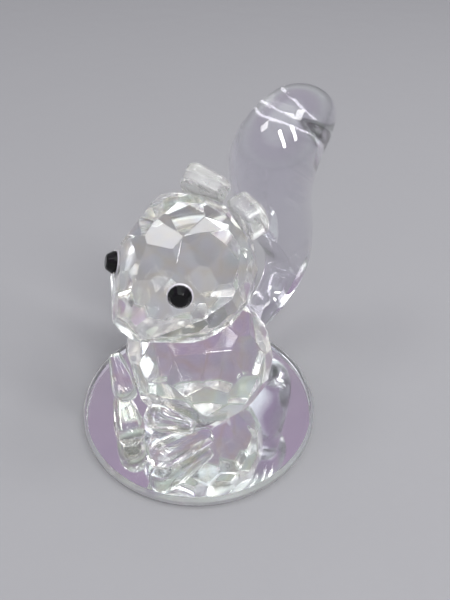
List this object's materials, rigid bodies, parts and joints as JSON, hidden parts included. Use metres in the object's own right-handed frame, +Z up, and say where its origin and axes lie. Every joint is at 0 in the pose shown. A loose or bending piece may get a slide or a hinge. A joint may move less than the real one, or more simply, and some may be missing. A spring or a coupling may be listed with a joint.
{
  "type": "squirrel figurine",
  "caption": "Small faceted crystal glass squirrel with jet eyes and a smooth upswept tail, glued on a round mirror base.",
  "frame": {"origin": "middle of the round base's underside", "axes": "+Z up, -Y the way the squirrel faces, +X its left"},
  "size_m": [0.04, 0.052, 0.05],
  "materials": {
    "backing_paint": "matte protective paint behind the mirror",
    "silvering": "mirror silvering",
    "mirror_glass": "clear float glass with ground edges",
    "crystal": "polished clear cut crystal",
    "jet_crystal": "polished opaque black crystal",
    "adhesive": "clear cured adhesive"
  },
  "bodies": {
    "root": {"base_backing": "backing_paint", "base_silvering": "silvering", "base_glass": "mirror_glass", "torso": "crystal", "head": "crystal", "eye_left": "jet_crystal", "eye_right": "jet_crystal", "ear_left": "crystal", "ear_right": "crystal", "arm_left": "crystal", "arm_right": "crystal", "foot_left": "crystal", "foot_right": "crystal", "tail": "crystal", "bond_torso": "adhesive", "bond_neck": "adhesive", "bond_tail": "adhesive", "bond_eye_left": "adhesive", "bond_eye_right": "adhesive", "bond_ear_left": "adhesive", "bond_ear_right": "adhesive", "bond_arm_left": "adhesive", "bond_arm_right": "adhesive", "bond_foot_left": "adhesive", "bond_foot_right": "adhesive"}
  },
  "joints": []
}
